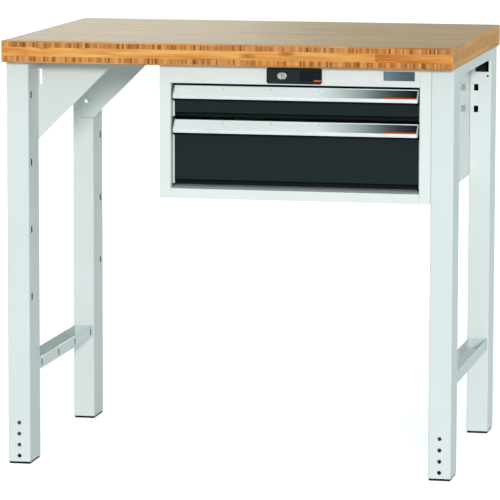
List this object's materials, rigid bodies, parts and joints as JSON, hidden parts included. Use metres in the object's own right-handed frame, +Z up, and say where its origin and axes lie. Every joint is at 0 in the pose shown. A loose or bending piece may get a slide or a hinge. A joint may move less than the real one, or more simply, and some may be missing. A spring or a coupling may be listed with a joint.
{
  "type": "workbench",
  "caption": "Workbench with a thick layered wood top on steel leg frames, telescopic feet, and an underbench cabinet with sliding drawers and a lock.",
  "frame": {"origin": "on the floor under the middle of the worktop", "axes": "+X along the bench to the cabinet's side (right, seen from the front), +Y to the back, +Z up"},
  "size_m": [1, 0.75, 0.948],
  "materials": {
    "worktop_wood": "oiled multi-layer board",
    "frame_paint": "light grey powder coat, semi-gloss",
    "cabinet_paint": "light grey powder coat, semi-gloss",
    "foot_steel": "zinc plated tube",
    "foot_plastic": "black moulded plastic",
    "fixings": "zinc plated",
    "lock_plate_plastic": "anthracite moulded plastic",
    "badge_plastic": "bare glossy black panel",
    "name_plastic": "bare blue-grey plate",
    "lock_metal": "plated lock cylinder",
    "lock_steel": "zinc plated",
    "tray_paint": "light grey powder coat",
    "front_paint": "anthracite powder coat",
    "handle_metal": "anodised, drawn strip",
    "cap_plastic": "light grey moulded plastic",
    "label_card": "bare label strip",
    "cover_plastic": "clear cover strip",
    "runner_steel": "zinc plated"
  },
  "bodies": {
    "bench": {"worktop": "worktop_wood", "leg_front_left": "frame_paint", "leg_front_right": "frame_paint", "leg_rear_left": "frame_paint", "leg_rear_right": "frame_paint", "top_rail_left": "frame_paint", "top_rail_right": "frame_paint", "crossbar_left": "frame_paint", "crossbar_right": "frame_paint", "gusset_front": "frame_paint", "gusset_rear": "frame_paint", "cabinet_side_left": "cabinet_paint", "cabinet_side_right": "cabinet_paint", "cabinet_top": "cabinet_paint", "cabinet_floor": "cabinet_paint", "cabinet_back": "cabinet_paint", "cabinet_fascia": "cabinet_paint", "cabinet_sill": "cabinet_paint", "worktop_screws": "fixings", "gusset_bolts": "fixings", "leg_nuts": "fixings", "cabinet_bolts": "fixings", "lock_plate": "lock_plate_plastic", "lock_badge": "badge_plastic", "name_plate": "name_plastic", "lock_housing": "lock_metal", "lock_bar_guides": "lock_steel", "upper_fixed_rails": "runner_steel", "lower_fixed_rails": "runner_steel"},
    "lock": {"lock_plug": "lock_metal", "lock_rod": "lock_steel", "lock_cam": "lock_steel"},
    "lock_bar": {"lock_bar": "lock_steel", "lock_hooks": "lock_steel"},
    "upper_drawer": {"upper_tray": "tray_paint", "upper_catch": "tray_paint", "upper_front": "front_paint", "upper_handle": "handle_metal", "upper_handle_caps": "cap_plastic", "upper_label": "label_card", "upper_label_cover": "cover_plastic", "upper_drawer_rails": "runner_steel"},
    "upper_runners": {"upper_middle_rails": "runner_steel"},
    "lower_drawer": {"lower_tray": "tray_paint", "lower_catch": "tray_paint", "lower_front": "front_paint", "lower_handle": "handle_metal", "lower_handle_caps": "cap_plastic", "lower_label": "label_card", "lower_label_cover": "cover_plastic", "lower_drawer_rails": "runner_steel"},
    "lower_runners": {"lower_middle_rails": "runner_steel"},
    "foot_front_left": {"foot_insert_front_left": "foot_steel", "foot_pad_front_left": "foot_plastic"},
    "foot_front_right": {"foot_insert_front_right": "foot_steel", "foot_pad_front_right": "foot_plastic"},
    "foot_rear_left": {"foot_insert_rear_left": "foot_steel", "foot_pad_rear_left": "foot_plastic"},
    "foot_rear_right": {"foot_insert_rear_right": "foot_steel", "foot_pad_rear_right": "foot_plastic"}
  },
  "joints": [
    {"name": "upper_drawer_slide", "type": "slide", "parent": "bench", "child": "upper_drawer", "axis": [0, -1, 0], "range_m": [0, 0.52]},
    {"name": "upper_runner_slide", "type": "slide", "parent": "bench", "child": "upper_runners", "axis": [0, -1, 0], "range_m": [0, 0.26]},
    {"name": "lower_drawer_slide", "type": "slide", "parent": "bench", "child": "lower_drawer", "axis": [0, -1, 0], "range_m": [0, 0.52]},
    {"name": "lower_runner_slide", "type": "slide", "parent": "bench", "child": "lower_runners", "axis": [0, -1, 0], "range_m": [0, 0.26]},
    {"name": "lock_turn", "type": "hinge", "parent": "bench", "child": "lock", "pos_m": [0.1215, -0.34, 0.8795], "axis": [0, 1, 0], "range_deg": [0, 90]},
    {"name": "lock_bar_lift", "type": "slide", "parent": "bench", "child": "lock_bar", "axis": [0, 0, 1], "range_m": [0, 0.01202]},
    {"name": "foot_front_left_slide", "type": "slide", "parent": "bench", "child": "foot_front_left", "axis": [0, 0, -1], "range_m": [0, 0.075]},
    {"name": "foot_front_right_slide", "type": "slide", "parent": "bench", "child": "foot_front_right", "axis": [0, 0, -1], "range_m": [0, 0.075]},
    {"name": "foot_rear_left_slide", "type": "slide", "parent": "bench", "child": "foot_rear_left", "axis": [0, 0, -1], "range_m": [0, 0.075]},
    {"name": "foot_rear_right_slide", "type": "slide", "parent": "bench", "child": "foot_rear_right", "axis": [0, 0, -1], "range_m": [0, 0.075]}
  ],
  "couplings": [
    {"joint": "upper_runner_slide", "follows": "upper_drawer_slide", "ratio": 0.5},
    {"joint": "lower_runner_slide", "follows": "lower_drawer_slide", "ratio": 0.5},
    {"joint": "lock_turn", "follows": "lock_bar_lift", "rad_per_m": 130.67}
  ]
}
